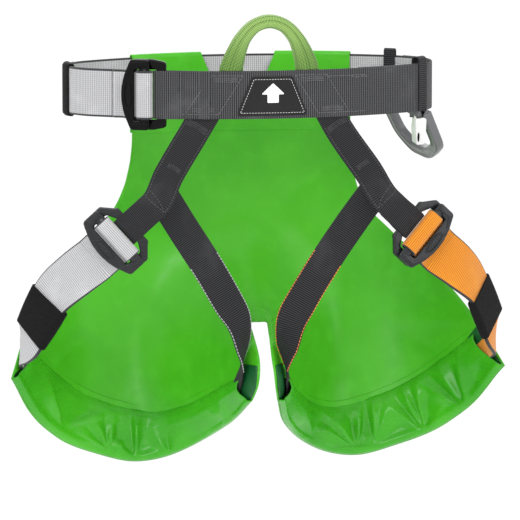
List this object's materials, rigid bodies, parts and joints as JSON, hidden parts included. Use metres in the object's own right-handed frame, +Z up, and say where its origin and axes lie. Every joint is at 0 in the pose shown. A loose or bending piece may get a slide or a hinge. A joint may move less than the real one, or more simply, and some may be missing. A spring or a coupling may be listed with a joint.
{
  "type": "sit harness with protective seat",
  "caption": "Sit harness with a wrap-round coated-fabric seat, a buckled waist belt, adjustable leg loops, a textile tie-in loop and a gated tool holder.",
  "frame": {"origin": "centre of the waist ring at the belt's mid-height", "axes": "+Z up through the waist ring, +Y to the wearer's back (so the buckles and the tie-in loop face -Y), +X to the right of someone who faces the harness"},
  "size_m": [0.474, 0.1955, 0.4378],
  "materials": {
    "dark_webbing": "woven polyester webbing with fine cross ribs",
    "grey_webbing": "woven polyester webbing, light grey, with dark edges",
    "orange_webbing": "woven polyester webbing, orange",
    "black_metal": "glossy black coating",
    "dark_metal": "satin gunmetal coating",
    "steel": "brushed",
    "elastic": "woven elastic",
    "label": "woven patch with a plain up arrow",
    "loop_sheath": "tubular woven webbing, green, with darker seams",
    "loop_core": "braided filler cord",
    "seat_pvc": "PVC-coated fabric, semi-gloss, softly wrinkled",
    "holder_plastic": "moulded nylon, finely grained",
    "gate_plastic": "moulded nylon, white",
    "keeper_rubber": "matt moulded rubber"
  },
  "bodies": {
    "harness": {"attach_label": "label", "belt_sleeve_left": "seat_pvc", "belt_sleeve_right": "seat_pvc", "crotch_strap_left": "dark_webbing", "crotch_strap_right": "dark_webbing", "front_belt": "dark_webbing", "leg_buckle_frame_left": "dark_metal", "leg_buckle_frame_right": "dark_metal", "leg_strap_left": "grey_webbing", "leg_strap_right": "orange_webbing", "leg_tunnel_left": "seat_pvc", "leg_tunnel_right": "seat_pvc", "notch_hem": "seat_pvc", "riser_backing_left": "dark_webbing", "riser_backing_right": "dark_webbing", "riser_strap_left": "dark_webbing", "riser_strap_right": "dark_webbing", "seat_panel": "seat_pvc", "tie_in_anchor_left": "loop_sheath", "tie_in_anchor_right": "loop_sheath", "tool_gate_pin": "steel", "tool_gate_spring": "steel", "tool_holder_body": "holder_plastic", "tool_keeper_front": "dark_webbing", "tool_keeper_rear": "dark_webbing", "tunnel_webbing_left": "dark_webbing", "tunnel_webbing_right": "dark_webbing", "waist_buckle_frame": "black_metal", "waist_strap": "grey_webbing"},
    "tie_in_loop": {"tie_in_loop_sheath": "loop_sheath", "tie_in_loop_core": "loop_core"},
    "waist_plate": {"waist_buckle_plate": "black_metal"},
    "leg_plate_left": {"leg_buckle_plate_left": "dark_metal"},
    "leg_plate_right": {"leg_buckle_plate_right": "dark_metal"},
    "waist_sleeve": {"waist_keeper": "elastic"},
    "leg_sleeve_left": {"leg_keeper_left": "keeper_rubber"},
    "leg_sleeve_right": {"leg_keeper_right": "keeper_rubber"},
    "gate": {"tool_holder_gate": "gate_plastic"}
  },
  "joints": [
    {"name": "tie_in_loop_swing", "type": "hinge", "parent": "harness", "child": "tie_in_loop", "pos_m": [0, -0.08475, 0.028], "axis": [1, 0, 0], "range_deg": [-40, 90], "stiffness_Nm_per_rad": 0.02},
    {"name": "waist_buckle_tilt", "type": "hinge", "parent": "harness", "child": "waist_plate", "pos_m": [-0.11438, -0.07116, 0], "axis": [0, 0, 1], "range_deg": [0, 30]},
    {"name": "leg_buckle_tilt_left", "type": "hinge", "parent": "harness", "child": "leg_plate_left", "pos_m": [-0.14431, -0.09874, -0.13086], "axis": [-0.6552, 0.1735, 0.7353], "range_deg": [0, 30]},
    {"name": "leg_buckle_tilt_right", "type": "hinge", "parent": "harness", "child": "leg_plate_right", "pos_m": [0.14431, -0.09874, -0.13086], "axis": [-0.6552, -0.1735, -0.7353], "range_deg": [0, 30]},
    {"name": "waist_keeper_slide", "type": "hinge", "parent": "harness", "child": "waist_sleeve", "pos_m": [-0.129, 0, 0], "axis": [0, 0, 1], "range_deg": [-14, 14]},
    {"name": "leg_keeper_slide_left", "type": "slide", "parent": "harness", "child": "leg_sleeve_left", "axis": [-0.3993, 0.3324, -0.8545], "range_m": [-0.012, 0.003]},
    {"name": "leg_keeper_slide_right", "type": "slide", "parent": "harness", "child": "leg_sleeve_right", "axis": [0.3993, 0.3324, -0.8545], "range_m": [-0.012, 0.003]},
    {"name": "tool_gate_hinge", "type": "hinge", "parent": "harness", "child": "gate", "pos_m": [0.1522, -0.0408, -0.0294], "axis": [0.9723, 0.2199, 0.0796], "range_deg": [0, 30], "stiffness_Nm_per_rad": 0.01, "springref_deg": -8.59}
  ]
}
